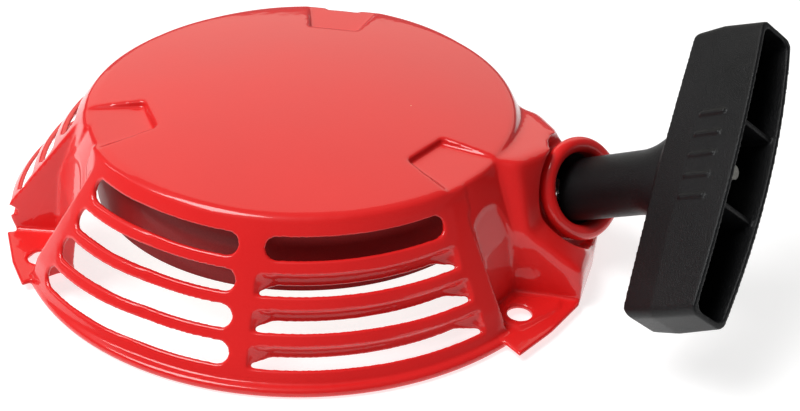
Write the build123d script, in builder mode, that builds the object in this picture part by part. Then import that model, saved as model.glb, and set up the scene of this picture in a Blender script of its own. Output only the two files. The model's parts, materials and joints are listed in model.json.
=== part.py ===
from build123d import *
import os
from math import asin, atan2, cos, degrees, hypot, radians, sin, sqrt

# Recoil starter for a small vertical-shaft engine, millimetres, +Z up through the closed top.
# Origin: centre of the bolt circle, in the plane of the undersides of the three mounting ears.
# The reel turns about Z, and the rope leaves the case low on its +X side, on a slant upward.

os.makedirs("parts", exist_ok=True)

# ---------------------------------------------------------------- driving dimensions
sheet = 1.4                     # thickness of the pressed steel
bolt_circle = 182.7             # diameter through the three mounting holes
bolt_hole = 7.8
ear_angles = (90, 210, 330)     # direction of each ear from the reel axis
rim_radius = 97.0               # outside of the rolled bottom edge
bead_radius = 1.75              # section of that rolled edge
bead_height = -0.5              # height of the rolled edge's centre
disc_radius = 70.4              # where the flat top would meet the cone
disc_height = 44.65
crown = 3.5                     # rise of the top disc from its edge to its centre
cone_foot_radius = 94.95        # cone radius at the rolled edge
shoulder_round = 3.0            # round between the top disc and the cone

rope_offset = 52.8              # distance from the reel axis to the rope's line
rope_height = 21.5              # height of the rope's groove
rope_diameter = 4.5
rope_turns = 5
rope_room = 0.35                # clearance round the rope in a hole

cone_lean = (cone_foot_radius - disc_radius) / (disc_height - bead_height)
cone_normal = (1 / hypot(1, cone_lean), cone_lean / hypot(1, cone_lean))
shell_top = disc_height + crown


def cone_radius(height, inset=0.0):
    """Radius of the case's conical skin at a height, moved in by inset along its normal."""
    surface = cone_foot_radius - cone_lean * (height - bead_height)
    return surface - inset / cone_normal[0]


def polar(radius, angle):
    return (radius * cos(radians(angle)), radius * sin(radians(angle)))


def save(builder, name):
    """Label a finished piece and write it to its own file."""
    builder.part.label = name
    export_step(builder.part, f"parts/{name}.step")


# ---------------------------------------------------------------- pressed case
# The outer skin and the inner skin are the same form, the inner one moved in by one sheet.

ear_back = 83.7                 # foot of the wall behind an ear, from the reel axis
pocket_reach = 125.0            # how far out the space above an ear is cut
ear_root = 9.0                  # half width of an ear's plate where it leaves the case

# Outermost edge of each ear, and its half width there on its anticlockwise and clockwise sides.
ear_plates = {
    90: (103.0, 16.0, 16.0),
    210: (100.5, 13.0, 18.4),
    330: (104.0, 17.5, 16.6),
}
# Raised island round the hole of the ear beside the outlet, in that ear's own directions.
island_height = 0.5
ear_island = (
    (84.9, -0.6),
    (86.3, 7.6),
    (93.7, 12.7),
    (97.5, 13.9),
    (99.6, 10.8),
    (98.1, 2.7),
    (96.0, -6.5),
    (88.0, -7.0),
)
pad_floor = disc_height - 0.6   # height of the flat weld pad above each ear
pad_inner = 51.0
pad_outer = 71.5
pad_half_inner = 8.5
pad_half_outer = 13.0
pad_shift = {90: 0.0, 210: -4.0, 330: 0.0}  # how far each pad lies off its ear's radial plane
wall_lean = 0.153               # how far the pocket's side walls splay for each unit of height

# Offset of each side wall from the ear's own radial plane at ear_back, and its splay in plan.
# ear direction: (anticlockwise side offset, splay), (clockwise side offset, splay)
pocket_sides = {
    90: ((8.0, 0.30), (8.0, 0.30)),
    210: ((7.8, 0.09), (12.5, 0.485)),
    330: ((8.9, 0.517), (6.2, 0.356)),
}
# Bulge of the skin beside each pocket, beyond the cone: ear direction, side, degrees over which
# it fades into the cone, share of it left half way, and its size at the rim, the knee and the top.
flank_bulges = (
    (90, 1, 40.0, 0.62, (1.0, 3.0, 2.0)),
    (90, -1, 40.0, 0.62, (1.0, 3.0, 2.0)),
    (210, 1, 40.0, 0.62, (2.0, 4.0, 1.6)),
    (210, -1, 60.0, 0.85, (2.5, 10.5, 0.9)),
    (330, -1, 40.0, 0.62, (0.3, 1.0, 0.3)),
)
knee_height = 8.75
flank_start = 5.0


def pocket_outline(height, side_ccw, side_cw, inset, lean_ccw=wall_lean):
    """Plan of the space cut above an ear at one height, in the ear's own directions."""
    back_lower = ear_back - 0.13 * height
    back_upper = pad_outer + (disc_height - height) * 0.40
    back = min(back_lower, back_upper) - inset

    def side(offset, splay, lean, x):
        return offset + splay * (x - ear_back) + lean * height + inset

    ccw = [side(*side_ccw, lean_ccw, x) for x in (back, pocket_reach)]
    cw = [-side(*side_cw, wall_lean, x) for x in (back, pocket_reach)]
    return [(back, cw[0]), (pocket_reach, cw[1]), (pocket_reach, ccw[1]), (back, ccw[0])]


def pocket_cutter(angle, inset):
    """Space above an ear, between its back wall and its two splayed side walls."""
    side_ccw, side_cw = pocket_sides[angle]
    lean_ccw = 0.0 if angle == 330 else wall_lean
    with BuildPart() as cutter:
        for low, high in ((sheet - inset, 22.0), (22.0, disc_height + 6.0)):
            for height in (low, high):
                with BuildSketch(Plane.XY.offset(height)):
                    outline = pocket_outline(height, side_ccw, side_cw, inset, lean_ccw)
                    Polygon(*outline, align=None)
            loft(ruled=True)
    return cutter.part


def pad_cutter(angle, inset):
    """Flat recess pressed into the top's edge, where the reel housing is welded on."""
    shift = pad_shift[angle]
    pad = [
        (pad_inner - inset, shift - pad_half_inner - inset),
        (pad_outer + 12.0, shift - pad_half_outer - 3.0 - inset),
        (pad_outer + 12.0, shift + pad_half_outer + 3.0 + inset),
        (pad_inner - inset, shift + pad_half_inner + inset),
    ]
    with BuildPart() as cutter:
        with BuildSketch(Plane.XY.offset(pad_floor - inset)):
            Polygon(*pad, align=None)
        extrude(amount=12.0)
    return cutter.part


def flank(side, reach, share, bulges, inset):
    """Skin beside a pocket, which stands out from the cone and fades into it."""
    heights = (bead_height, knee_height, disc_height - 0.3)
    with BuildPart() as body:
        for lower in (0, 1):
            for step in (lower, lower + 1):
                height = heights[step]
                near = cone_radius(height, inset) + bulges[step]
                middle = cone_radius(height, inset) + share * bulges[step]
                far = cone_radius(height, inset) - 0.05
                with BuildSketch(Plane.XY.offset(height - (inset if step == 2 else 0))):
                    with BuildLine():
                        arc = ThreePointArc(
                            polar(near, side * flank_start),
                            polar(middle, side * (flank_start + reach) / 2),
                            polar(far, side * reach),
                        )
                        Polyline(arc @ 1, (40.0, 0.0), arc @ 0)
                    make_face()
            loft(ruled=True)
    return body.part


# Outlet housing: plan outlines at four heights, from the side panel round to the far side.
outlet_low = [(48.0, -32.4), (97.6, -36.0), (101.0, -13.0), (102.5, 6.0), (95.0, 27.0), (48.0, 38.0)]
outlet_middle = [(48.0, -32.4), (79.5, -34.0), (85.5, -14.0), (91.0, 4.0), (86.5, 22.0), (48.0, 36.0)]
outlet_high = [(48.0, -24.0), (73.0, -24.5), (86.0, -9.0), (87.5, -1.5), (74.0, 16.0), (48.0, 30.0)]
outlet_knee = 12.0
outlet_shoulder = 24.0
outlet_crest = 44.2
crest_fall = 0.106              # fall of the housing's top for each unit toward +Y
collar_center = Vector(94.2, -6.6, 25.75)
collar_heading = -40.5
collar_tilt = 28.8
collar_ring = 14.6              # centre radius of the collar's rolled lip
collar_lip = 2.6                # section of that lip
neck_radius = 14.7
neck_depth = 26.0               # how far the neck runs back into the housing
scoop_radius = 19.5             # clear space round the lip
scoop_depth = 6.5

collar_axis = Vector(
    cos(radians(collar_tilt)) * cos(radians(collar_heading)),
    cos(radians(collar_tilt)) * sin(radians(collar_heading)),
    sin(radians(collar_tilt)),
)
collar_plane = Plane(origin=collar_center, z_dir=collar_axis, x_dir=(-collar_axis.Y, collar_axis.X, 0))


def outlet_form(inset):
    """Housing that carries the rope from the reel out to the collar."""
    levels = (
        (bead_height, outlet_low),
        (outlet_knee, outlet_low),
        (outlet_shoulder, outlet_middle),
        (outlet_crest - inset, outlet_high),
    )
    with BuildPart() as body:
        for lower in range(3):
            for height, outline in levels[lower:lower + 2]:
                with BuildSketch(Plane.XY.offset(height)):
                    Polygon(*outline, align=None)
                    if inset:
                        offset(amount=-inset, kind=Kind.INTERSECTION, mode=Mode.REPLACE)
            loft(ruled=True)
        crest = Plane(origin=(72.0, -24.0, disc_height - 0.65 - inset), z_dir=Vector(0.0, crest_fall, 1.0))
        split(bisect_by=crest, keep=Keep.BOTTOM)
        with BuildSketch(collar_plane.offset(-scoop_depth - inset)):
            Circle(scoop_radius + inset)
        extrude(amount=30.0, mode=Mode.SUBTRACT)
        neck_end = -collar_lip if inset == 0 else collar_lip
        with BuildSketch(collar_plane.offset(-neck_depth)):
            Circle(neck_radius - inset)
        extrude(amount=neck_depth + neck_end)
    return body.part


def shell_form(inset):
    """The case's whole skin as one solid, moved in by inset."""
    floor = bead_height if inset == 0 else -6.0
    edge = disc_radius - inset / cone_normal[0] + inset * cone_lean
    with BuildPart() as form:
        with BuildSketch(Plane.XZ):
            with BuildLine():
                crown_arc = ThreePointArc(
                    (0.0, shell_top - inset),
                    (edge / 2, shell_top - crown / 4 - inset),
                    (edge, disc_height - inset),
                )
                Polyline(crown_arc @ 1, (cone_radius(floor, inset), floor), (0.0, floor), crown_arc @ 0)
            make_face()
            fillet(vertices().sort_by(Axis.Y)[-2], radius=shoulder_round - inset)
        revolve(axis=Axis.Z)
        for angle, side, reach, share, bulges in flank_bulges:
            with Locations(Rotation(0, 0, angle)):
                add(flank(side, reach, share, bulges, inset))
        add(outlet_form(inset))
        for angle in ear_angles:
            with Locations(Rotation(0, 0, angle)):
                add(pad_cutter(angle, inset), mode=Mode.SUBTRACT)
                add(pocket_cutter(angle, inset), mode=Mode.SUBTRACT)
    return form.part


# Air slots: two columns of four in each sector between the ears, and one column beside the outlet.
slot_top = 36.2                 # height of the top row's middle
slot_pitch = 9.53
slot_height = 6.1
slot_rows = 4
slot_margin = 18.0              # slot end to the ear's radial plane
rib_half = 4.2                  # half width of the rib between two columns
sector_half = 60.0
slot_inner = 60.0               # cutters run between these radii
slot_outer = 125.0

slot_heights = [slot_top - slot_pitch * row for row in range(slot_rows)]
# Start direction of each sector, its columns, and the columns whose lower rows are louvres.
slot_columns = ((90, (0, 1), ()), (210, (0, 1), (1,)), (330, (1,), ()))


def slot_span(row_height, column):
    """First and last direction of a slot, measured from the ear at the start of its sector."""
    radius = cone_radius(row_height)
    ear_gap = degrees(asin(slot_margin / radius))
    rib_gap = degrees(asin(rib_half / radius))
    if column == 0:
        return ear_gap, sector_half - rib_gap
    return sector_half + rib_gap, 2 * sector_half - ear_gap


def slot_cutter(row_height, column):
    """Annular cutter with round ends for one slot."""
    first, last = slot_span(row_height, column)
    end_radius = slot_height / 2
    end_turn = degrees(end_radius / cone_radius(row_height))
    start = Plane.XZ.rotated((0, 0, first + end_turn))
    with BuildPart() as cutter:
        with BuildSketch(start):
            with Locations(((slot_inner + slot_outer) / 2, row_height)):
                Rectangle(slot_outer - slot_inner, slot_height)
        revolve(axis=Axis.Z, revolution_arc=last - first - 2 * end_turn)
        for turn in (first + end_turn, last - end_turn):
            radial = Plane(origin=(0, 0, row_height), x_dir=(0, 0, 1), z_dir=(*polar(1, turn), 0))
            with BuildSketch(radial.offset(slot_inner)):
                Circle(end_radius)
            extrude(amount=slot_outer - slot_inner)
    return cutter.part


louvre_gap = 0.25               # cut between a louvre's flap and the skin below it
louvre_depth = 5.3              # how far the flap's lower edge is pressed in
louvre_end = 0.3                # how far it is pressed in at its two ends
louvre_bend = 1.0               # height of the flap's bend above the row's middle
louvre_lead = 1.7               # degrees by which a louvre starts before its slot would
louvre_fade = 4.5               # degrees at each end over which the flap comes back to the skin


def louvre_span(row_height, column):
    first, last = slot_span(row_height, column)
    return first - louvre_lead, last


def louvre_cutter(row_height, column):
    """Annular cutter with square ends for one louvre."""
    first, last = louvre_span(row_height, column)
    with BuildPart() as cutter:
        with BuildSketch(Plane.XZ.rotated((0, 0, first))):
            with Locations(((slot_inner + slot_outer) / 2, row_height)):
                Rectangle(slot_outer - slot_inner, slot_height)
        revolve(axis=Axis.Z, revolution_arc=last - first)
    return cutter.part


def flap_section(row_height, depth):
    """Section of a louvre's flap, from the skin above it down to its pressed-in lower edge."""
    upper = row_height + slot_height / 2 + 0.3
    bend = row_height + louvre_bend
    lower = row_height - slot_height / 2 + louvre_gap
    outside = [
        (cone_radius(upper), upper),
        (cone_radius(bend) - 0.72 * depth, bend),
        (cone_radius(lower) - depth, lower),
    ]
    inside = [(radius - 1.2 * sheet, height) for radius, height in reversed(outside)]
    return outside + inside


def louvre_flap(row_height, column):
    """Flap that hangs from a louvre's upper edge, pressed in and closed toward its two ends."""
    first, last = louvre_span(row_height, column)
    with BuildPart() as flap:
        with BuildSketch(Plane.XZ.rotated((0, 0, first + louvre_fade))):
            Polygon(*flap_section(row_height, louvre_depth), align=None)
        revolve(axis=Axis.Z, revolution_arc=last - first - 2 * louvre_fade)
        for end, full in ((first, first + louvre_fade), (last, last - louvre_fade)):
            for turn, depth in ((end, louvre_end), (full, louvre_depth)):
                with BuildSketch(Plane.XZ.rotated((0, 0, turn))):
                    Polygon(*flap_section(row_height, depth), align=None)
            loft(ruled=True)
    return flap.part


bead_clear = 7.0                # degrees from an ear's middle to the end of the rolled edge

outer_form = shell_form(0.0)
inner_form = shell_form(sheet)
slot_cutters = []
flaps = []
for angle, columns, louvred in slot_columns:
    for column in columns:
        for row, height in enumerate(slot_heights):
            if column in louvred and row > 0:
                slot_cutters.append(Rotation(0, 0, angle) * louvre_cutter(height, column))
                flaps.append(Rotation(0, 0, angle) * louvre_flap(height, column))
            else:
                slot_cutters.append(Rotation(0, 0, angle) * slot_cutter(height, column))

with BuildPart() as starter_case:
    add(outer_form)
    add(inner_form, mode=Mode.SUBTRACT)
    add(slot_cutters, mode=Mode.SUBTRACT)
    add(flaps)
    for angle, (reach, tip_ccw, tip_cw) in ear_plates.items():
        with BuildSketch(Plane.XY.rotated((0, 0, angle))):
            Polygon(
                (ear_back - 2.0, -ear_root),
                (reach - 9.0, -tip_cw + 2.0),
                (reach - 1.0, -tip_cw),
                (reach, 0.0),
                (reach - 1.0, tip_ccw),
                (reach - 9.0, tip_ccw - 2.0),
                (ear_back - 2.0, ear_root),
                align=None,
            )
        extrude(amount=sheet)
    with BuildSketch(Plane.XY.rotated((0, 0, ear_angles[2]))):
        Polygon(*ear_island, align=None)
    extrude(amount=sheet + island_height)
    for angle in ear_angles:
        with BuildSketch(Plane.XZ.rotated((0, 0, angle + bead_clear))):
            with Locations((rim_radius - bead_radius, bead_height)):
                Circle(bead_radius)
        revolve(axis=Axis.Z, revolution_arc=2 * sector_half - 2 * bead_clear)
    with PolarLocations(bolt_circle / 2, 3, start_angle=ear_angles[0]):
        Hole(bolt_hole / 2)
save(starter_case, "starter_case")

# ---------------------------------------------------------------- rope outlet collar
sleeve_length = 18.0
sleeve_wall = 1.2

collar_section = Plane(origin=collar_center, x_dir=collar_plane.x_dir, z_dir=-collar_plane.y_dir)
with BuildPart() as rope_outlet_collar:
    with BuildSketch(collar_section):
        with Locations((collar_ring, 0.0)):
            Circle(collar_lip)
        with Locations((collar_ring - collar_lip + sleeve_wall / 2, -sleeve_length / 2)):
            Rectangle(sleeve_wall, sleeve_length)
    revolve(axis=Axis(collar_center, collar_axis))
save(rope_outlet_collar, "rope_outlet_collar")

# ---------------------------------------------------------------- reel housing and its post
housing_radius = 70.0           # outside of the housing's wall at its foot
housing_taper = 1.2             # how much smaller it is at the top
housing_top = pad_floor - sheet - 0.05
housing_foot = 17.75
housing_skin = 1.2
window_width = 16.0
window_top = 27.0
rope_exit = 12.0                # direction in which the rope crosses the housing's wall

with BuildPart() as reel_housing:
    with BuildSketch(Plane.XZ):
        Polygon(
            (0.0, housing_top),
            (housing_radius - housing_taper, housing_top),
            (housing_radius, housing_foot),
            (housing_radius - housing_skin, housing_foot),
            (housing_radius - housing_taper - housing_skin, housing_top - housing_skin),
            (0.0, housing_top - housing_skin),
            align=None,
        )
    revolve(axis=Axis.Z)
    fillet(edges().filter_by(GeomType.CIRCLE).group_by(Axis.Z)[-1], radius=2.0)
    window = Plane.XY.offset(housing_foot).rotated((0, 0, rope_exit))
    with BuildSketch(window):
        with Locations((housing_radius, 0.0)):
            Rectangle(14.0, window_width)
    extrude(amount=window_top - housing_foot, mode=Mode.SUBTRACT)
save(reel_housing, "reel_housing")

post_radius = 7.0
post_foot = 13.0
screw_radius = 3.0
spring_height = 9.0
spring_foot = 28.5

with BuildPart() as centre_post:
    with BuildSketch(Plane.XY.offset(post_foot)):
        Circle(post_radius)
        Circle(screw_radius - 0.4, mode=Mode.SUBTRACT)
    extrude(amount=housing_top - housing_skin - post_foot)
    with BuildSketch(Plane.XY.offset(housing_top - housing_skin - 2.0)):
        Circle(post_radius + 4.0)
        Circle(post_radius, mode=Mode.SUBTRACT)
    extrude(amount=2.0)
    with BuildSketch(Plane.XY.offset(spring_foot)):
        with Locations((post_radius + 1.0, 0.0)):
            Rectangle(4.0, 2.4)
    extrude(amount=spring_height + 1.0)
save(centre_post, "centre_post")

weld_radius = 2.6
weld_orbit = 60.0
weld_gap = 9.0                  # between the two spots in one pad
with BuildPart() as weld_spots:
    for angle in ear_angles:
        spot_row = Plane.XY.offset(pad_floor - sheet - 0.05).rotated((0, 0, angle))
        with BuildSketch(spot_row):
            with Locations(*[(weld_orbit, pad_shift[angle] + side * weld_gap / 2) for side in (-1, 1)]):
                Circle(weld_radius)
        extrude(amount=0.8 * sheet)
save(weld_spots, "weld_spots")

# ---------------------------------------------------------------- reel
reel_radius = 66.0
reel_bore = post_radius + 0.06
reel_foot = post_foot + 0.1
groove_height = rope_diameter + 1.2
flange = 2.2
groove_foot = rope_height - groove_height / 2
rope_pitch = rope_diameter + 0.2
winding_inner = rope_offset - rope_pitch * rope_turns
drum_radius = winding_inner - rope_diameter / 2 - 0.3
spring_room = 39.5              # inside radius of the spring's chamber
spring_wall = 2.0
chamber_floor = groove_foot + groove_height + flange
reel_top = spring_foot + spring_height + 1.2
spring_start = 150.0            # direction of the spring's outer hook
ratchet_orbit = 23.0            # ratchet pivots, from the reel axis
ratchet_angles = (20.0, 200.0)
ratchet_pin_radius = 2.5
knot_angle = 75.0               # where the rope is knotted inside the reel
knot_orbit = 19.5

with BuildPart() as reel:
    with BuildSketch(Plane.XZ):
        Polygon(
            (reel_bore, reel_foot),
            (12.0, reel_foot),
            (12.0, groove_foot - flange),
            (reel_radius, groove_foot - flange),
            (reel_radius, groove_foot - 0.6),
            (drum_radius, groove_foot),
            (drum_radius, groove_foot + groove_height),
            (reel_radius, groove_foot + groove_height + 0.6),
            (reel_radius, chamber_floor),
            (spring_room + spring_wall, chamber_floor),
            (spring_room + spring_wall, reel_top),
            (spring_room, reel_top),
            (spring_room, chamber_floor + 1.5),
            (11.0, chamber_floor + 1.5),
            (11.0, chamber_floor + 1.0),
            (reel_bore, chamber_floor + 1.0),
            align=None,
        )
    revolve(axis=Axis.Z)
    for angle in ratchet_angles:
        with Locations(polar(ratchet_orbit, angle)):
            Hole(ratchet_pin_radius)
    knot_plane = Plane.XY.offset(groove_foot).rotated((0, 0, knot_angle))
    with BuildSketch(knot_plane):
        with Locations((knot_orbit, 0.0)):
            Rectangle(10.0, 10.0)
        with Locations((drum_radius - 1.0, 0.0)):
            Rectangle(8.0, rope_diameter + 0.6)
    extrude(amount=groove_height, mode=Mode.SUBTRACT)
    with BuildSketch(Plane.XY.offset(spring_foot - 0.6).rotated((0, 0, spring_start))):
        with Locations((spring_room + spring_wall / 2, 0.0)):
            Rectangle(6.0, 3.0)
    extrude(amount=spring_height + 2.0, mode=Mode.SUBTRACT)
    with BuildSketch(Plane.XY.offset(groove_foot + groove_height / 2)):
        with PolarLocations(53.0, 6, start_angle=10.0):
            Circle(5.0)
    extrude(amount=groove_height, mode=Mode.SUBTRACT)
save(reel, "reel")


def half_turn_spiral(outer_radius, pitch, half_turns, start_angle, height):
    """Flat spiral of half circles that meet in line, from the outside inward."""
    shift = polar(pitch / 2, start_angle)
    arcs = []
    for step in range(half_turns):
        center = (0.0, 0.0, height) if step % 2 == 0 else (-shift[0], -shift[1], height)
        radius = outer_radius - step * pitch / 2
        arcs.append((center, radius, start_angle + 180.0 * step))
    return arcs


# ---------------------------------------------------------------- rope
grip_heading = -35.5
grip_tilt = 30.45
grip_twist = 41.9               # turn of the crossbar about the rope, from level
grip_center = Vector(94.8, -5.8, 25.1)
grip_axis = Vector(
    cos(radians(grip_tilt)) * cos(radians(grip_heading)),
    cos(radians(grip_tilt)) * sin(radians(grip_heading)),
    sin(radians(grip_tilt)),
)
level = Vector(-sin(radians(grip_heading)), cos(radians(grip_heading)), 0)
crossbar_axis = level * cos(radians(grip_twist)) + grip_axis.cross(level) * sin(radians(grip_twist))
grip_plane = Plane(origin=grip_center, x_dir=crossbar_axis, z_dir=grip_axis)

rope_bend = grip_center - grip_axis * ((grip_center.Z - rope_height) / grip_axis.Z)
bend_angle = degrees(atan2(rope_bend.Y, rope_bend.X))
bend_distance = hypot(rope_bend.X, rope_bend.Y)
tangent_angle = bend_angle + degrees(atan2(sqrt(bend_distance**2 - rope_offset**2), rope_offset))
tangent_point = Vector(*polar(rope_offset, tangent_angle), rope_height)
knot_height = 48.6              # knot's place along the grip's axis
knot_tail = 8.0                 # cut end beyond the knot's last wrap
rope_end = grip_center + grip_axis * (knot_height - rope_diameter / 2)

with BuildPart() as rope_lead:
    with BuildLine():
        lead_path = FilletPolyline(tangent_point, rope_bend, rope_end, radius=9.0)
    with BuildSketch(Plane(origin=lead_path @ 0, z_dir=lead_path % 0)):
        Circle(rope_diameter / 2)
    sweep()
save(rope_lead, "rope_lead")

with BuildPart() as rope_winding:
    with BuildLine() as winding_path:
        for center, radius, angle in half_turn_spiral(
            rope_offset, rope_pitch, 2 * rope_turns, tangent_angle, rope_height
        ):
            CenterArc(center, radius, angle, 180.0)
    with BuildSketch(Plane(origin=tangent_point, z_dir=Vector(*polar(1, tangent_angle + 90.0), 0))):
        Circle(rope_diameter / 2)
    sweep(path=winding_path.line)
save(rope_winding, "rope_winding")


def knot(plane, ring, wraps, tail, name):
    """Stopper knot: wraps of rope round a core, and the cut end that stands out of it."""
    foot = -rope_diameter / 2
    last_wrap = (wraps - 1) * rope_pitch
    upright = (Align.CENTER, Align.CENTER, Align.MIN)
    with BuildPart(plane) as body:
        for wrap in range(wraps):
            with Locations((0.0, 0.0, wrap * rope_pitch)):
                Torus(ring, rope_diameter / 2)
        with Locations((0.0, 0.0, foot)):
            Cylinder(ring, last_wrap + rope_diameter, align=upright)
            Cylinder(rope_diameter / 2, last_wrap + rope_diameter / 2 + tail, align=upright)
    save(body, name)


knot_ring = 2.3
knot_place = polar(knot_orbit, knot_angle)
knot(Plane(origin=(*knot_place, rope_height)), knot_ring, 1, 0.0, "reel_rope_knot")
knot(grip_plane.offset(knot_height), knot_ring + 0.5, 2, knot_tail, "grip_rope_knot")

# ---------------------------------------------------------------- return spring
spring_strip = 0.6
spring_half_turns = 19
spring_outer = spring_room - 0.9
spring_pitch = 2.9
spring_inner = spring_outer - spring_pitch / 2 * spring_half_turns

with BuildPart() as return_spring:
    with BuildSketch(Plane.XY.offset(spring_foot)):
        with BuildLine():
            for center, radius, angle in half_turn_spiral(
                spring_outer, spring_pitch, spring_half_turns, spring_start, 0.0
            ):
                CenterArc(center, radius, angle, 180.0)
        trace(line_width=spring_strip)
        with Locations(Rotation(0, 0, spring_start)):
            with Locations((spring_outer + 1.2, 0.0)):
                Rectangle(3.0, spring_strip)
    extrude(amount=spring_height)
save(return_spring, "return_spring")

# ---------------------------------------------------------------- ratchets under the reel
ratchet_foot = 12.9
ratchet_thickness = 3.2
guide_lag = 25.0                # how far the reel turns before the guide follows it
pawl_reach = 18.4               # pivot to tip
boss_reach = 9.0                # pivot to the boss that the guide's slot moves
boss_radius = 1.3
guide_foot = 9.0
guide_thickness = 1.6
pin_head_foot = 11.0
coil_radius = 3.15
coil_wire = 0.32
coil_height = 1.3
coil_leg = 9.0

for index, pivot_angle in enumerate(ratchet_angles, start=1):
    pivot = polar(ratchet_orbit, pivot_angle)
    pivot_frame = Plane(origin=(*pivot, 0), x_dir=(*polar(1, pivot_angle - 90.0 - 17.0), 0), z_dir=(0, 0, 1))

    with BuildPart() as ratchet:
        with BuildSketch(pivot_frame.offset(ratchet_foot)):
            Circle(5.0)
            Polygon(
                (0.0, 5.0),
                (8.0, 5.2),
                (pawl_reach, 3.2),
                (pawl_reach + 0.6, 0.0),
                (pawl_reach - 3.5, -1.8),
                (8.0, -2.8),
                (0.0, -5.0),
                align=None,
            )
            Circle(ratchet_pin_radius + 0.06, mode=Mode.SUBTRACT)
        extrude(amount=ratchet_thickness)
        with BuildSketch(pivot_frame.offset(guide_foot + 0.4)):
            with Locations((boss_reach, 1.0)):
                Circle(boss_radius)
        extrude(amount=ratchet_foot - guide_foot)
    save(ratchet, f"ratchet_{index}")

    with BuildPart() as ratchet_pin:
        with BuildSketch(pivot_frame.offset(pin_head_foot)):
            Circle(3.7)
        extrude(amount=0.4)
        with BuildSketch(pivot_frame.offset(pin_head_foot)):
            Circle(ratchet_pin_radius)
        extrude(amount=groove_foot - pin_head_foot)
    save(ratchet_pin, f"ratchet_pin_{index}")

    coil_middle = pin_head_foot + 0.4 + coil_height / 2 + 0.05
    with BuildPart() as ratchet_spring:
        with BuildSketch(Plane(origin=(*pivot, coil_middle), x_dir=(1, 0, 0), z_dir=(0, -1, 0))):
            with Locations((coil_radius, 0.0)):
                SlotOverall(coil_height, 2 * coil_wire, rotation=90.0)
        revolve(axis=Axis(pivot_frame.origin, (0, 0, 1)))
        with BuildSketch(Plane(origin=(*pivot, coil_middle), x_dir=(0, 0, 1), z_dir=pivot_frame.x_dir)):
            with Locations((0.0, coil_radius)):
                Circle(coil_wire)
        extrude(amount=coil_leg)
    save(ratchet_spring, f"ratchet_spring_{index}")


def boss_place(turned):
    """Place of the first ratchet's boss, seen from the guide, when both have turned."""
    pivot = Vector(*polar(ratchet_orbit, ratchet_angles[0]), 0)
    rest = ratchet_angles[0] - 90.0 - 17.0
    reach = hypot(boss_reach, 1.0)
    lean = degrees(atan2(1.0, boss_reach))
    place = pivot + Vector(*polar(reach, rest + lean + turned), 0)
    return place.rotate(Axis.Z, -turned)


with BuildLine() as cam_line:
    ThreePointArc(boss_place(0.0), boss_place(guide_lag / 2), boss_place(guide_lag))

with BuildPart() as ratchet_guide:
    with BuildSketch(Plane.XY.offset(guide_foot)):
        Circle(31.0)
        Circle(5.06, mode=Mode.SUBTRACT)
        for turn in (0.0, 180.0):
            with Locations(Rotation(0, 0, turn)):
                SlotArc(cam_line.edges()[0], 2 * boss_radius + 0.7, mode=Mode.SUBTRACT)
            with Locations(Rotation(0, 0, turn + 95.0)):
                with Locations((22.0, 0.0)):
                    RectangleRounded(16.0, 22.0, 4.0, mode=Mode.SUBTRACT)
    extrude(amount=guide_thickness)
save(ratchet_guide, "ratchet_guide")

# ---------------------------------------------------------------- centre screw and what it holds
shoulder_radius = 5.0
washer_thickness = 1.0
head_radius = 8.5
head_height = 2.4
head_foot = guide_foot - 0.3 - head_height
shoulder_top = post_foot - washer_thickness

with BuildPart() as retaining_washer:
    with BuildSketch(Plane.XY.offset(shoulder_top)):
        Circle(11.5)
        Circle(screw_radius, mode=Mode.SUBTRACT)
    extrude(amount=washer_thickness)
save(retaining_washer, "retaining_washer")

with BuildPart() as centre_screw:
    with BuildSketch(Plane.XY.offset(head_foot)):
        Circle(head_radius)
    extrude(amount=head_height)
    fillet(edges().group_by(Axis.Z)[0], radius=0.9)
    with BuildSketch(Plane.XY.offset(head_foot)):
        Circle(shoulder_radius)
    extrude(amount=shoulder_top - head_foot)
    with BuildSketch(Plane.XY.offset(shoulder_top)):
        Circle(screw_radius - 0.4)
    extrude(amount=14.0)
    with BuildSketch(Plane.XY.offset(head_foot)):
        Rectangle(7.0, 1.4)
        Rectangle(1.4, 7.0)
    extrude(amount=1.5, mode=Mode.SUBTRACT)
save(centre_screw, "centre_screw")

friction_wire = 0.5
friction_ring = shoulder_radius + friction_wire + 0.05
with BuildPart() as friction_spring:
    ring_height = guide_foot + guide_thickness + friction_wire + 0.05
    with BuildSketch(Plane.XZ):
        with Locations((friction_ring, ring_height)):
            Circle(friction_wire)
    revolve(axis=Axis.Z, revolution_arc=290.0)
    for angle in (0.0, 290.0):
        with BuildSketch(Plane(origin=(*polar(friction_ring, angle), ring_height), z_dir=(*polar(1, angle), 0))):
            Circle(friction_wire)
        extrude(amount=5.0)
save(friction_spring, "friction_spring")

# ---------------------------------------------------------------- T grip
palm_face = 38.9                # crossbar's inner face, along the grip's axis
grip_seam = 50.0                # where the two halves of its mould met
grip_rim = 64.8                 # crossbar's open edge at its ends
grip_rim_bow = 3.3              # how much further out that edge is at its middle
bar_corner = 3.0
palm_corner = 3.5
stem_end = -3.0                 # stem's inner end, along the grip's axis
stem_half_width = 10.9
stem_half_depth = 8.2
stem_flare = 13.0               # round between the stem and the crossbar
flare_overlap = 0.3
cavity_floor = 44.8
grip_rib_offset = 13.7          # ribs inside the crossbar, from its middle
grip_rib = 1.6
grip_rib_top = 66.0
mark_count = 5                  # plain ribs on the crossbar's upper face
mark_pitch = 7.0
mark_middle = (2.1, 55.6)
mark_size = (1.4, 9.3)
mark_foot = 8.0                 # height range of these ribs, from the crossbar's middle plane
mark_top = 9.75

# Crossbar's outline at three heights, and its cavity's at two:
# height, half length, half width at its ends, bow of its long sides.
bar_sections = (
    (palm_face, 48.9, 7.6, 0.9),
    (grip_seam, 49.3, 8.2, 1.1),
    (grip_rim + grip_rim_bow, 48.1, 7.3, 1.7),
)
cavity_sections = (
    (cavity_floor, 46.8, 5.6, 1.0),
    (grip_rim + grip_rim_bow + 1.0, 46.6, 5.9, 1.7),
)


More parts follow.
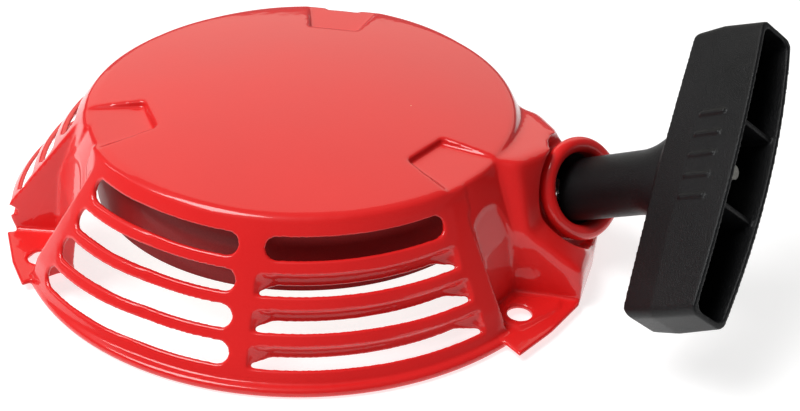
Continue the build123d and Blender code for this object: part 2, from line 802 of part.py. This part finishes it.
def crossbar_outline(half_length, half_width, bow):
    """Draw one of the crossbar's outlines: long sides bowed outward, corners rounded."""
    with BuildLine() as outline:
        for side in (1, -1):
            ThreePointArc(
                (-half_length, side * half_width),
                (0.0, side * (half_width + bow)),
                (half_length, side * half_width),
            )
            Line((side * half_length, half_width), (side * half_length, -half_width))
    make_face(outline.edges())
    fillet(vertices(), radius=bar_corner)


with BuildPart() as crossbar_body:
    for height, half_length, half_width, bow in bar_sections:
        with BuildSketch(grip_plane.offset(height)):
            crossbar_outline(half_length, half_width, bow)
    loft(ruled=True)

with BuildPart() as grip_cavity:
    for height, half_length, half_width, bow in cavity_sections:
        with BuildSketch(grip_plane.offset(height)):
            crossbar_outline(half_length, half_width, bow)
    loft(ruled=True)

grip_side = Plane(origin=grip_center, x_dir=grip_plane.x_dir, z_dir=-grip_plane.y_dir)
half_bar = bar_sections[1][1]
with BuildPart() as grip:
    with BuildSketch(grip_side):
        with BuildLine():
            palm = Line((-half_bar, palm_face), (half_bar, palm_face))
            Line(palm @ 0, (-half_bar, grip_rim))
            Line(palm @ 1, (half_bar, grip_rim))
            ThreePointArc((-half_bar, grip_rim), (0.0, grip_rim + grip_rim_bow), (half_bar, grip_rim))
        make_face()
        fillet(vertices().filter_by(lambda v: abs(v.Y - palm_face) < 0.1), radius=palm_corner)
    extrude(amount=20.0, both=True)
    add(crossbar_body.part, mode=Mode.INTERSECT)
    with BuildSketch(grip_plane.offset(stem_end)):
        Ellipse(stem_half_width, stem_half_depth)
    extrude(amount=palm_face + flare_overlap - stem_end)
    for turn in (0.0, 30.0, 55.0, 75.0, 90.0):
        rise = stem_flare * (1 - sin(radians(turn)))
        with BuildSketch(grip_plane.offset(palm_face + flare_overlap - rise)):
            Ellipse(stem_half_width + stem_flare * (1 - cos(radians(turn))), stem_half_depth)
    loft()
    add(grip_cavity.part, mode=Mode.SUBTRACT)
    with BuildSketch(grip_plane.offset(cavity_floor - 0.5)):
        with Locations((-grip_rib_offset, 0.0), (grip_rib_offset, 0.0)):
            Rectangle(grip_rib, 15.4)
    extrude(amount=grip_rib_top - cavity_floor + 0.5)
    with BuildSketch(grip_side.offset(-mark_foot)):
        with Locations(mark_middle):
            with GridLocations(mark_pitch, 1.0, mark_count, 1):
                RectangleRounded(*mark_size, 0.6)
    extrude(amount=mark_foot - mark_top)
    with BuildSketch(grip_plane.offset(stem_end - 1.0)):
        Circle(rope_diameter / 2 + rope_room)
    extrude(amount=cavity_floor - stem_end + 2.0, mode=Mode.SUBTRACT)
save(grip, "grip")

plate_thickness = 1.5
with BuildPart() as grip_plate:
    with BuildSketch(grip_plane.offset(cavity_floor + 0.05)):
        RectangleRounded(19.0, 9.0, 2.0)
        Circle(rope_diameter / 2 + rope_room, mode=Mode.SUBTRACT)
    extrude(amount=plate_thickness)
save(grip_plate, "grip_plate")
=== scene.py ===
import json
from math import atan2, cos, hypot, pi, radians, sin, tan

import bmesh
import bpy
import numpy as np
from mathutils import Matrix, Vector


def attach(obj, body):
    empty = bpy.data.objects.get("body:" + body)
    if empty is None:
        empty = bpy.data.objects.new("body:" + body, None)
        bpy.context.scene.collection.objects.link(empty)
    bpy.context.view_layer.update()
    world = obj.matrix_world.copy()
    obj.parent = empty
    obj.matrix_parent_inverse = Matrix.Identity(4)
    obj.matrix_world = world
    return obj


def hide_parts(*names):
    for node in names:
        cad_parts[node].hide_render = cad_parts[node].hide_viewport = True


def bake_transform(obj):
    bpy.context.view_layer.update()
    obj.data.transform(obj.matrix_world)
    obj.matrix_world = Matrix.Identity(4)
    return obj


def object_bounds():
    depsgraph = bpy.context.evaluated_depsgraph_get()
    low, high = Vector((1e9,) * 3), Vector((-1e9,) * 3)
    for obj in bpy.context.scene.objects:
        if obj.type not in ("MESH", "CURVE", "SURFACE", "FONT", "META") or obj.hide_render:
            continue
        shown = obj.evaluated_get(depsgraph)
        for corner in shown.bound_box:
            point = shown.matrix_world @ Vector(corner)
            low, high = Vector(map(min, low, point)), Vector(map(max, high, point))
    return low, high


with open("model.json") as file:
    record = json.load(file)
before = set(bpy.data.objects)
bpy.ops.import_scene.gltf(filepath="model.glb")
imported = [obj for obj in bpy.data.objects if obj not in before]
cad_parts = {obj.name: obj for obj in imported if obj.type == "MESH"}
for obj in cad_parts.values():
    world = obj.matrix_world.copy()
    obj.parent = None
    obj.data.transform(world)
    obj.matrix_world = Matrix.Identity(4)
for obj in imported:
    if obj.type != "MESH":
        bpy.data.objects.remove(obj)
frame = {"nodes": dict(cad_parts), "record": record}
cad_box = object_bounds()
nodes = frame["nodes"]

MM = 0.001                      # one millimetre, in the frame's metres
SCENE = bpy.context.scene
SCENE.view_settings.view_transform = "Standard"


# ---------------------------------------------------------------- camera
# The camera stands in front, above and a little to the right, and looks at the object's middle.
camera_place = Vector((86.14, -405.25, 277.25)) * MM
camera_heading = 7.39           # degrees to the left of +Y
camera_pitch = 33.51            # degrees below the horizon
camera_roll = 2.29              # degrees by which its right side is raised
camera_lens = 63.9              # millimetres, on the sensor below
camera_sensor = 36.0            # millimetres wide
camera_nearest = 10.0 * MM      # it sees nothing nearer than this


def make_camera():
    heading = radians(camera_heading)
    pitch = radians(camera_pitch)
    forward = Vector((-sin(heading) * cos(pitch), cos(heading) * cos(pitch), -sin(pitch)))
    right = forward.cross(Vector((0, 0, 1))).normalized()
    up = right.cross(forward)
    roll = radians(camera_roll)
    rolled_right = right * cos(roll) + up * sin(roll)
    rolled_up = up * cos(roll) - right * sin(roll)
    data = bpy.data.cameras.new("camera")
    data.lens = camera_lens
    data.sensor_width = camera_sensor
    data.clip_start = camera_nearest
    camera = bpy.data.objects.new("camera", data)
    axes = Matrix((rolled_right, rolled_up, -forward)).transposed()
    camera.matrix_world = Matrix.Translation(camera_place) @ axes.to_4x4()
    SCENE.collection.objects.link(camera)
    SCENE.camera = camera


# ---------------------------------------------------------------- materials
# Sockets of Blender's Mix node when it mixes colours: several share one name.
first_color, second_color, mixed_color = 6, 7, 2

black = (0.0, 0.0, 0.0)
white = (1.0, 1.0, 1.0)
most_noise = (0.3, 0.7)         # nearly all of a noise's values lie between these


class Nodes:
    """A material under construction: adds nodes and joins their sockets.

    The functions that follow return one of these, and its .material is the finished one.
    """

    def __init__(self, name):
        self.material = bpy.data.materials.new(name)
        self.material.use_nodes = True
        self.tree = self.material.node_tree
        self.shader = self.tree.nodes["Principled BSDF"]
        self.object_coords = self.tree.nodes.new("ShaderNodeTexCoord").outputs["Object"]

    def put(self, kind, **settings):
        """A new node; each setting is one of its input sockets or one of its own properties."""
        node = self.tree.nodes.new(kind)
        for key, value in settings.items():
            if key in node.inputs:
                node.inputs[key].default_value = value
            else:
                setattr(node, key, value)
        return node

    def join(self, source, target):
        self.tree.links.new(source, target)

    def shader_values(self, **values):
        for key, value in values.items():
            self.shader.inputs[key.replace("_", " ")].default_value = value

    def shader_links(self, **sources):
        for key, source in sources.items():
            self.join(source, self.shader.inputs[key.replace("_", " ")])

    def noise(self, scale, detail=2.0, roughness=0.5):
        node = self.put("ShaderNodeTexNoise", Scale=scale, Detail=detail, Roughness=roughness)
        self.join(self.object_coords, node.inputs["Vector"])
        return node.outputs["Fac"]

    def ramp(self, source, places, colors):
        """A colour that runs from the first to the second between two values of the source."""
        node = self.put("ShaderNodeValToRGB")
        for element, place, color in zip(node.color_ramp.elements, places, colors):
            element.position = place
            element.color = (*color, 1.0)
        self.join(source, node.inputs["Fac"])
        return node.outputs["Color"]

    def span(self, source, values, results):
        """A number that runs from one result to the other between two values of the source."""
        node = self.put("ShaderNodeMapRange")
        node.inputs["From Min"].default_value, node.inputs["From Max"].default_value = values
        node.inputs["To Min"].default_value, node.inputs["To Max"].default_value = results
        self.join(source, node.inputs["Value"])
        return node.outputs["Result"]

    def mix(self, share, first, second):
        """The first colour at share 0 and the second at share 1; each a tuple or a socket."""
        node = self.put("ShaderNodeMix", data_type="RGBA")
        self.join(share, node.inputs["Factor"])
        for place, color in ((first_color, first), (second_color, second)):
            if isinstance(color, tuple):
                node.inputs[place].default_value = (*color, 1.0)
            else:
                self.join(color, node.inputs[place])
        return node.outputs[mixed_color]

    def bump(self, height, distance, strength):
        node = self.put("ShaderNodeBump", Strength=strength, Distance=distance)
        self.join(height, node.inputs["Height"])
        return node.outputs["Normal"]


paint_dark = (0.745, 0.009, 0.009)
paint_light = (0.790, 0.013, 0.012)
paint_speck = (0.86, 0.06, 0.06)
primer = (0.85, 0.70, 0.40)


def paint_chips(m):
    """1 on a few scattered chips in the paint, 0 elsewhere."""
    cells = m.put("ShaderNodeTexVoronoi", Scale=115.0)
    m.join(m.object_coords, cells.inputs["Vector"])
    small = m.ramp(cells.outputs["Distance"], (0.018, 0.030), (white, black))
    rare = m.ramp(m.noise(scale=60.0, detail=1.0), (0.66, 0.68), (black, white))
    both = m.put("ShaderNodeMath", operation="MULTIPLY")
    m.join(small, both.inputs[0])
    m.join(rare, both.inputs[1])
    return both.outputs[0]


def red_paint(name, dark, light, gloss=1.0):
    """Gloss red paint: faint orange peel, a slightly uneven coat and a few chips to the primer."""
    m = Nodes(name)
    cloud = m.noise(scale=22.0, detail=3.0)
    coat = m.ramp(cloud, most_noise, (dark, light))
    specks = m.span(m.noise(scale=1900.0), (0.40, 0.62), (0.0, 0.05))
    color = m.mix(paint_chips(m), m.mix(specks, coat, paint_speck), primer)
    m.shader_links(
        Base_Color=color,
        Roughness=m.span(cloud, most_noise, (0.38, 0.46)),
        Coat_Normal=m.bump(m.noise(scale=330.0, detail=1.0), distance=0.04 * MM, strength=0.5),
        Normal=m.bump(m.noise(scale=900.0), distance=0.03 * MM, strength=0.6),
    )
    m.shader_values(Coat_Weight=gloss, Coat_Roughness=0.045, Coat_IOR=1.4, Specular_IOR_Level=0.22)
    return m


# The rope's way out of the case: the middle of the collar's lip, and the way it faces.
collar_center = Vector((94.2, -6.6, 25.75)) * MM
collar_heading = radians(-40.5)
collar_tilt = radians(28.8)
collar_axis = Vector((
    cos(collar_tilt) * cos(collar_heading),
    cos(collar_tilt) * sin(collar_heading),
    sin(collar_tilt),
))
# Painted shade: the inside of the sleeve is painted near black and loses its coat, standing in for the
# deep shade there.
sleeve_painted_shade = (0.006, 0.001, 0.001)
sleeve_shade_fade = (-4.0 * MM, -1.5 * MM)    # from the sleeve's painted shade to full paint, along the collar's axis


def shaded_collar_paint():
    """The case's paint, with painted shade: near black and without its coat inside the sleeve behind
    the rolled lip.
    """
    m = red_paint("shaded_collar_paint", paint_dark, paint_light)
    facing = collar_axis.to_track_quat("Z", "Y").to_euler()
    place = m.put("ShaderNodeMapping", vector_type="TEXTURE", Location=collar_center, Rotation=facing)
    m.join(m.object_coords, place.inputs["Vector"])
    along = m.put("ShaderNodeSeparateXYZ")
    m.join(place.outputs["Vector"], along.inputs["Vector"])
    outside_painted_shade = m.span(along.outputs["Z"], sleeve_shade_fade, (0.0, 1.0))
    full_paint = m.shader.inputs["Base Color"].links[0].from_socket
    m.shader_links(Base_Color=m.mix(outside_painted_shade, sleeve_painted_shade, full_paint), Coat_Weight=outside_painted_shade)
    return m


def black_plastic():
    """Fine-grained black moulding, with the tips of its grain a little paler."""
    m = Nodes("black_moulding")
    cloud = m.noise(scale=35.0, detail=3.0)
    color = m.ramp(cloud, most_noise, ((0.0030, 0.0032, 0.0036), (0.0050, 0.0052, 0.0058)))
    grain = m.noise(scale=2100.0, detail=3.0, roughness=0.7)
    tips = m.span(grain, (0.55, 0.75), (0.0, 0.5))
    m.shader_links(
        Base_Color=m.mix(tips, color, (0.018, 0.019, 0.020)),
        Roughness=m.span(cloud, most_noise, (0.34, 0.46)),
        Normal=m.bump(grain, distance=0.18 * MM, strength=0.9),
    )
    m.shader_values(Specular_IOR_Level=0.28)
    return m


def metal(name, light, dark, roughness, grain=700.0):
    """Plain metal finish: a cloudy tint, fine grain and uneven polish."""
    m = Nodes(name)
    polish = (roughness, roughness + 0.12)
    cloud = m.noise(scale=60.0, detail=4.0)
    m.shader_links(
        Base_Color=m.ramp(cloud, most_noise, (dark, light)),
        Roughness=m.span(cloud, most_noise, polish),
        Normal=m.bump(m.noise(scale=grain, detail=3.0), distance=0.03 * MM, strength=0.5),
    )
    m.shader_values(Metallic=1.0)
    return m


def moulding(name, light, dark, roughness):
    """Injection moulding with a faint flow pattern."""
    m = Nodes(name)
    polish = (roughness, roughness + 0.1)
    cloud = m.noise(scale=45.0, detail=4.0, roughness=0.6)
    m.shader_links(
        Base_Color=m.ramp(cloud, most_noise, (dark, light)),
        Roughness=m.span(m.noise(scale=500.0), most_noise, polish),
        Normal=m.bump(m.noise(scale=1200.0), distance=0.05 * MM, strength=0.5),
    )
    return m


def braid(name):
    """Polyester yarn with fuzz on it; the crossing strands themselves are in the rope's mesh."""
    m = Nodes(name)
    fuzz = m.noise(scale=2600.0, detail=3.0, roughness=0.7)
    m.shader_links(
        Base_Color=m.ramp(fuzz, most_noise, ((0.50, 0.48, 0.42), (0.80, 0.78, 0.71))),
        Normal=m.bump(fuzz, distance=0.2 * MM, strength=0.8),
    )
    m.shader_values(Roughness=0.85, Sheen_Weight=0.3)
    return m


paint = red_paint("gloss_red_paint", paint_dark, paint_light).material
lip_paint_and_sleeve_shade = shaded_collar_paint().material
# Painted shade: a darker copy of the red paint, with little coat, for the parts seen inside the case.
inner_painted_shade = red_paint(
    "inner_shade_paint",
    dark=(0.200, 0.004, 0.005),
    light=(0.260, 0.006, 0.007),
    gloss=0.15,
).material
grip_plastic = black_plastic().material
zinc = metal("bright_zinc", (0.74, 0.74, 0.71), (0.60, 0.61, 0.60), 0.24).material
spring_steel = metal("oiled_spring_steel", (0.20, 0.21, 0.24), (0.11, 0.115, 0.13), 0.28).material
sintered = metal("sintered_steel", (0.40, 0.39, 0.37), (0.26, 0.26, 0.25), 0.42, grain=1400.0).material
nylon = moulding("natural_nylon", (0.78, 0.76, 0.68), (0.66, 0.64, 0.56), 0.42).material
black_nylon = moulding("black_nylon", (0.030, 0.030, 0.032), (0.018, 0.018, 0.020), 0.45).material
rope_fabric = braid("braided_rope").material

finishes = {
    "painted_steel": paint,
    "zinc_steel": zinc,
    "spring_steel": spring_steel,
    "ratchet_steel": sintered,
    "reel_plastic": nylon,
    "guide_plastic": black_nylon,
    "grip_plastic": grip_plastic,
    "rope": rope_fabric,
}
shaded_inner_nodes = ("reel_housing", "weld_spots")    # a darker, duller copy of the paint: painted shade for their place inside the case


def give_material(piece, material):
    piece.data.materials.clear()
    piece.data.materials.append(material)


def finish_cad_nodes():
    """Give every carried-over node the finish of its own material slot; the nodes inside the case get
    a darker copy of the paint instead, as painted shade.
    """
    slots = {part["node"]: part["material_slot"] for part in frame["record"]["subparts"]}
    for name, node in nodes.items():
        give_material(node, inner_painted_shade if name in shaded_inner_nodes else finishes[slots[name]])


# ---------------------------------------------------------------- mesh tools
def remeshed(source, name, voxel):
    """An even skin over a copy of a node's mesh, for rounding its edges."""
    piece = bpy.data.objects.new(name, source.data.copy())
    SCENE.collection.objects.link(piece)
    remesh = piece.modifiers.new("skin", "REMESH")
    remesh.mode = "VOXEL"
    remesh.voxel_size = voxel
    depsgraph = bpy.context.evaluated_depsgraph_get()
    skin = bpy.data.meshes.new_from_object(piece.evaluated_get(depsgraph))
    piece.modifiers.clear()
    piece.data = skin
    return piece


def points_of(mesh):
    points = np.empty(len(mesh.vertices) * 3)
    mesh.vertices.foreach_get("co", points)
    return points.reshape(-1, 3)


def edges_of(mesh):
    edges = np.empty(len(mesh.edges) * 2, dtype=np.int64)
    mesh.edges.foreach_get("vertices", edges)
    return edges.reshape(-1, 2)


def set_points(mesh, points):
    """Move a mesh's points, and shade it smooth."""
    mesh.vertices.foreach_set("co", points.astype(np.float32).ravel())
    mesh.update()
    mesh.shade_smooth()


def soften(points, edges, rounds, weight, pull=0.5):
    """Move each point towards the middle of its neighbours, as far as pull and its weight say."""
    count = len(points)
    first, second = edges[:, 0], edges[:, 1]
    ends = np.concatenate((first, second))
    others = np.concatenate((second, first))
    neighbours = np.maximum(np.bincount(ends, minlength=count), 1)
    share = (pull * weight)[:, None]
    for _ in range(rounds):
        middle = np.stack([
            np.bincount(ends, weights=points[others, axis], minlength=count) / neighbours
            for axis in range(3)
        ], axis=1)
        points = points + share * (middle - points)
    return points


def rounded_off(node, name, voxel, rounds):
    """A node's even skin, with its sharp edges rounded off everywhere."""
    piece = remeshed(nodes[node], name, voxel)
    points = points_of(piece.data)
    everywhere = np.ones(len(points))
    set_points(piece.data, soften(points, edges_of(piece.data), rounds, everywhere))
    return piece


def ease(values, band):
    """0 below the band, 1 above it, smooth between."""
    low, high = band
    t = np.clip((values - low) / (high - low), 0.0, 1.0)
    return t * t * (3.0 - 2.0 * t)


def distance_from_axis(points):
    return np.hypot(points[:, 0], points[:, 1])


def turned(points, angle):
    """Points seen along a direction: distance outward and distance to its left."""
    c, s = cos(radians(angle)), sin(radians(angle))
    along = points[:, 0] * c + points[:, 1] * s
    across = points[:, 1] * c - points[:, 0] * s
    return along, across


# ---------------------------------------------------------------- pressed case
# The case's main sizes, as in the CAD: they say where its smooth faces lie.
ear_angles = (90, 210, 330)
disc_radius = 70.4 * MM
disc_height = 44.65 * MM        # at the top disc's edge
crown = 3.5 * MM                # how much higher the top disc's middle is
bead_height = -0.5 * MM
cone_foot_radius = 94.95 * MM
cone_lean = (cone_foot_radius - disc_radius) / (disc_height - bead_height)
slot_top = 36.2 * MM
slot_pitch = 9.53 * MM
slot_height = 6.1 * MM
slot_rows = 4
slot_foot = slot_top - slot_pitch * (slot_rows - 1) - slot_height
pad_inner = 51.0 * MM
pad_outer = 71.5 * MM
pad_half_inner = 8.5 * MM
pad_half_outer = 13.0 * MM
pad_shift = {90: 0.0, 210: -4.0 * MM, 330: 0.0}     # sideways, by ear
outlet_heading = 0.0            # middle direction of the outlet housing, in degrees

# Bands over which one treatment of the skin gives way to the next.
slots_begin = (slot_foot - 1.0 * MM, slot_foot)             # height
slots_end = (slot_top + 4.6 * MM, slot_top + 6.0 * MM)      # height
slots_inside = (60.0 * MM, 63.0 * MM)                       # distance from the axis
no_slots_beside_ear = (15.0 * MM, 17.0 * MM)                # distance from the ear's middle line
low_edge = (2.0 * MM, 4.5 * MM)                             # height
dome_near = (0.15 * MM, 0.4 * MM)                           # gap between skin and exact dome
dome_rim = (64.5 * MM, 68.0 * MM)                           # distance from the axis
pad_surround = (1.0 * MM, 3.0 * MM)                         # distance from a pad's outline
cone_near = (0.10 * MM, 0.55 * MM)                          # gap between skin and exact cone
cone_foot = (2.0 * MM, 4.0 * MM)                            # height
cone_head = (40.0 * MM, 42.0 * MM)                          # height
outlet_sides = (20.0, 26.0)                                 # degrees from its middle direction
outlet_inside = (70.0 * MM, 76.0 * MM)                      # distance from the axis
outlet_foot = (5.0 * MM, 9.0 * MM)                          # height

case_voxel = 0.42 * MM
case_rounds = 9
crease_rounds = 6
outlet_rounds = 110
last_rounds = 4
last_pull = 0.3


def near_slots(points):
    """1 where the skin is pierced by slots, 0 away from them."""
    height = points[:, 2]
    in_rows = ease(height, slots_begin) * (1 - ease(height, slots_end))
    plain = np.zeros(len(points))
    for angle in ear_angles:
        along, across = turned(points, angle)
        by_ear = 1 - ease(np.abs(across), no_slots_beside_ear)
        plain = np.maximum(plain, np.where(along > 0, by_ear, 0.0))
    return in_rows * (1 - plain) * ease(distance_from_axis(points), slots_inside)


def near_outlet(points):
    """1 on the soft, pressed form of the outlet housing, 0 away from it."""
    direction = np.degrees(np.arctan2(points[:, 1], points[:, 0]))
    in_front = 1 - ease(np.abs(direction - outlet_heading), outlet_sides)
    outside = ease(distance_from_axis(points), outlet_inside)
    return in_front * outside * ease(points[:, 2], outlet_foot)


def pad_distance(points):
    """Signed distance, in plan, to the nearest pad's outline; negative inside it."""
    nearest = np.full(len(points), np.inf)
    for angle in ear_angles:
        along, across = turned(points, angle)
        share = (along - pad_inner) / (pad_outer - pad_inner)
        half = pad_half_inner + (pad_half_outer - pad_half_inner) * share
        outline = np.maximum(pad_inner - along, np.abs(across - pad_shift[angle]) - half)
        nearest = np.minimum(nearest, outline)
    return nearest


def settle_top(points):
    """Bring the top disc back onto its exact dome, so that it mirrors without ripples."""
    radius = distance_from_axis(points)
    dome = (disc_radius**2 + crown**2) / (2 * crown)
    exact = disc_height + crown - dome + np.sqrt(dome**2 - np.minimum(radius, disc_radius) ** 2)
    gap = np.abs(points[:, 2] - exact)
    weight = (1 - ease(gap, dome_near)) * (1 - ease(radius, dome_rim))
    weight = weight * ease(pad_distance(points), pad_surround)
    points[:, 2] += weight * (exact - points[:, 2])


def settle_cone(points):
    """Bring the bars between the slots back onto the exact cone."""
    radius = distance_from_axis(points)
    height = points[:, 2]
    exact = cone_foot_radius - cone_lean * (height - bead_height)
    weight = 1 - ease(np.abs(radius - exact), cone_near)
    weight = weight * ease(height, cone_foot) * (1 - ease(height, cone_head))
    points[:, :2] *= (1 + weight * (exact / np.maximum(radius, MM) - 1))[:, None]


def pressed_case():
    """The case with its pressed edges rounded; its slots and its low edge stay crisper."""
    case = remeshed(nodes["starter_case"], "pressed_case", case_voxel)
    points = points_of(case.data)
    edges = edges_of(case.data)
    everywhere = np.ones(len(points))
    creases = (1 - near_slots(points)) * ease(points[:, 2], low_edge)
    points = soften(points, edges, case_rounds, everywhere)
    points = soften(points, edges, crease_rounds, creases)
    points = soften(points, edges, outlet_rounds, near_outlet(points))
    settle_top(points)
    settle_cone(points)
    points = soften(points, edges, last_rounds, everywhere, last_pull)
    set_points(case.data, points)
    give_material(case, paint)
    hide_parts("starter_case")
    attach(case, "case")


# ---------------------------------------------------------------- grip
grip_voxel = 0.36 * MM
grip_rounds = 4


def moulded_grip():
    """The grip, with its edges rounded as a moulding's are."""
    piece = rounded_off("grip", "moulded_grip", grip_voxel, grip_rounds)
    give_material(piece, grip_plastic)
    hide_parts("grip")
    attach(piece, "grip")


# ---------------------------------------------------------------- collar
collar_voxel = 0.4 * MM
collar_rounds = 4
sleeve_radius = 12.6 * MM
sleeve_depth = 16.9 * MM        # from the lip's middle back to the sleeve's inner end
sleeve_hole = 5.2 * MM          # radius of the hole left round the rope
sleeve_end_round = 1.1 * MM
sleeve_steps = 72               # round the ring
rim_steps = 8                   # round the rim of its hole


def ring_section():
    """The turned-in end's section, as distances outward and along: flat, with a rounded rim."""
    section = [(sleeve_radius, -sleeve_end_round)]
    for step in range(rim_steps + 1):
        angle = pi * step / rim_steps
        outward = sleeve_hole + sleeve_end_round * (1 - sin(angle))
        section.append((outward, sleeve_end_round * -cos(angle)))
    section.append((sleeve_radius, sleeve_end_round))
    return section


def turned_in_end():
    """The sleeve's inner end, turned in round the rope: a ring with a rounded rim."""
    side = collar_axis.orthogonal().normalized()
    up = collar_axis.cross(side)
    middle = collar_center - collar_axis * sleeve_depth
    section = ring_section()
    form = bmesh.new()
    rings = []
    for step in range(sleeve_steps):
        angle = 2 * pi * step / sleeve_steps
        outward = side * cos(angle) + up * sin(angle)
        ring = []
        for radius, height in section:
            ring.append(form.verts.new(middle + outward * radius + collar_axis * height))
        rings.append(ring)
    for index, ring in enumerate(rings):
        other = rings[(index + 1) % sleeve_steps]
        for step in range(len(section)):
            ahead = (step + 1) % len(section)
            form.faces.new((ring[step], other[step], other[ahead], ring[ahead]))
    bmesh.ops.recalc_face_normals(form, faces=form.faces)
    mesh = bpy.data.meshes.new("turned_in_end")
    form.to_mesh(mesh)
    form.free()
    mesh.shade_smooth()
    return mesh


def rolled_collar():
    """The ring round the rope's way out, with its sleeve and the sleeve's turned-in end."""
    piece = rounded_off("rope_outlet_collar", "rolled_collar", collar_voxel, collar_rounds)
    whole = bmesh.new()
    whole.from_mesh(piece.data)
    whole.from_mesh(turned_in_end())
    whole.to_mesh(piece.data)
    whole.free()
    piece.data.shade_smooth()
    # The collar's material paints the inside of the sleeve and its turned-in end near black: painted
    # shade.
    give_material(piece, lip_paint_and_sleeve_shade)
    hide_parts("rope_outlet_collar")
    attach(piece, "case")


# ---------------------------------------------------------------- rope
# The rope runs level from the reel, bends once and then follows the grip's own line.
rope_radius = 2.25 * MM
rope_height = 21.5 * MM         # of the level run
rope_offset = 52.8 * MM         # of the level run from the reel's axis
rope_bend_radius = 9.0 * MM
grip_heading = radians(-35.5)
grip_tilt = radians(30.45)
grip_center = Vector((94.8, -5.8, 25.1)) * MM       # a point on the grip's line, in the collar
grip_axis = Vector((
    cos(grip_tilt) * cos(grip_heading),
    cos(grip_tilt) * sin(grip_heading),
    sin(grip_tilt),
))
rope_knot = 46.35 * MM          # where the rope meets its knot, along the grip's line

level_steps = 160               # rings on the level run
bend_steps = 12                 # rings in the bend
rope_step = 0.5 * MM            # between rings on the grip's line
rope_sides = 28
rope_relief = 0.16 * MM         # how far the braid's strands stand out
braid_pitch = 9.0 * MM          # length of rope in which a strand goes once round
braid_strands = 4               # each way round


def rope_path():
    """Middle line of the rope from the reel to the knot, at nearly even steps."""
    bend = grip_center - grip_axis * ((grip_center.z - rope_height) / grip_axis.z)
    reach = hypot(bend.x, bend.y)
    turn = atan2(bend.y, bend.x) + atan2((reach**2 - rope_offset**2) ** 0.5, rope_offset)
    start = Vector((rope_offset * cos(turn), rope_offset * sin(turn), rope_height))
    end = grip_center + grip_axis * rope_knot
    inward = (bend - start).normalized()
    cut = rope_bend_radius * tan(inward.angle(grip_axis) / 2)
    before = bend - inward * cut
    after = bend + grip_axis * cut
    points = [start.lerp(before, step / level_steps) for step in range(level_steps)]
    for step in range(bend_steps):
        t = step / bend_steps
        points.append(before.lerp(bend, t).lerp(bend.lerp(after, t), t))
    count = int((end - after).length / rope_step)
    points += [after.lerp(end, step / count) for step in range(count + 1)]
    return points


def braid_radius(angle, twist):
    """The rope's radius at one place: full on a strand, less in the dips between crossing strands."""
    right_hand = cos(braid_strands * (angle - twist))
    left_hand = cos(braid_strands * (angle + twist))
    return rope_radius - rope_relief * (1 - max(right_hand, left_hand)) / 2


def rope_rings(form, points):
    """One ring of mesh points round each point of the path, each lined up with the one before."""
    rings = []
    side = (points[1] - points[0]).orthogonal().normalized()
    run = 0.0
    for index, point in enumerate(points):
        before = points[max(index - 1, 0)]
        ahead = (points[min(index + 1, len(points) - 1)] - before).normalized()
        side = (side - ahead * side.dot(ahead)).normalized()
        up = ahead.cross(side)
        run += (point - before).length
        twist = 2 * pi * run / braid_pitch
        ring = []
        for step in range(rope_sides):
            angle = 2 * pi * step / rope_sides
            outward = side * cos(angle) + up * sin(angle)
            ring.append(form.verts.new(point + outward * braid_radius(angle, twist)))
        rings.append(ring)
    return rings


def braided_rope():
    """The rope between reel and knot, with crossing strands."""
    form = bmesh.new()
    rings = rope_rings(form, rope_path())
    for first, second in zip(rings, rings[1:]):
        for step in range(rope_sides):
            ahead = (step + 1) % rope_sides
            form.faces.new((first[step], first[ahead], second[ahead], second[step]))
    form.faces.new(list(reversed(rings[0])))
    form.faces.new(rings[-1])
    mesh = bpy.data.meshes.new("braided_rope")
    form.to_mesh(mesh)
    form.free()
    mesh.shade_smooth()
    rope = bpy.data.objects.new("braided_rope", mesh)
    SCENE.collection.objects.link(rope)
    give_material(rope, rope_fabric)
    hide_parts("rope_lead")
    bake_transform(rope)


# ---------------------------------------------------------------- floor and light
floor_size = 12.0
floor_colors = ((0.44, 0.44, 0.44), (0.48, 0.48, 0.48))
glow_reach = (0.42, 0.75)       # the floor's own light fades between these distances
glow_strength = (0.74, 0.28)    # before and after the fade
sky_color = (0.92, 0.95, 1.0)
sky_strength = 0.13
neutral = (1.0, 1.0, 1.0)
warm = (1.0, 0.96, 0.84)


def make_floor():
    lowest = cad_box[0][2]
    bpy.ops.mesh.primitive_plane_add(size=floor_size, location=(0, 0, lowest))
    floor = bpy.context.object
    floor.name = "floor"
    m = Nodes("pale_floor")
    away = m.put("ShaderNodeVectorMath", operation="LENGTH")
    m.join(m.object_coords, away.inputs[0])
    m.shader_links(
        Base_Color=m.ramp(m.noise(scale=3.0), most_noise, floor_colors),
        Emission_Strength=m.span(away.outputs["Value"], glow_reach, glow_strength),
    )
    m.shader_values(Roughness=0.7, Specular_IOR_Level=0.2, Emission_Color=(*neutral, 1.0))
    floor.data.materials.append(m.material)


def make_softbox(name, place, size, power, color):
    """A rectangular light that faces the frame's origin, with its power in watts."""
    data = bpy.data.lights.new(name, "AREA")
    data.shape = "RECTANGLE"
    data.size, data.size_y = size
    data.energy = power
    data.color = color
    light = bpy.data.objects.new(name, data)
    light.location = place
    light.rotation_euler = (-light.location).to_track_quat("-Z", "Y").to_euler()
    SCENE.collection.objects.link(light)


def make_light():
    world = bpy.data.worlds.new("studio")
    world.use_nodes = True
    SCENE.world = world
    sky = world.node_tree.nodes["Background"]
    sky.inputs["Color"].default_value = (*sky_color, 1.0)
    sky.inputs["Strength"].default_value = sky_strength
    # Places and sizes are in metres.
    make_softbox("back_softbox", (-0.1, 1.7, 1.15), size=(2.8, 1.3), power=10.5, color=warm)
    make_softbox("key_softbox", (-0.65, -0.35, 1.35), size=(0.8, 0.8), power=23.5, color=neutral)
    make_softbox("left_softbox", (-1.5, 0.1, 0.8), size=(0.15, 0.7), power=1.2, color=neutral)


make_camera()
finish_cad_nodes()
pressed_case()
moulded_grip()
rolled_collar()
braided_rope()
make_floor()
make_light()
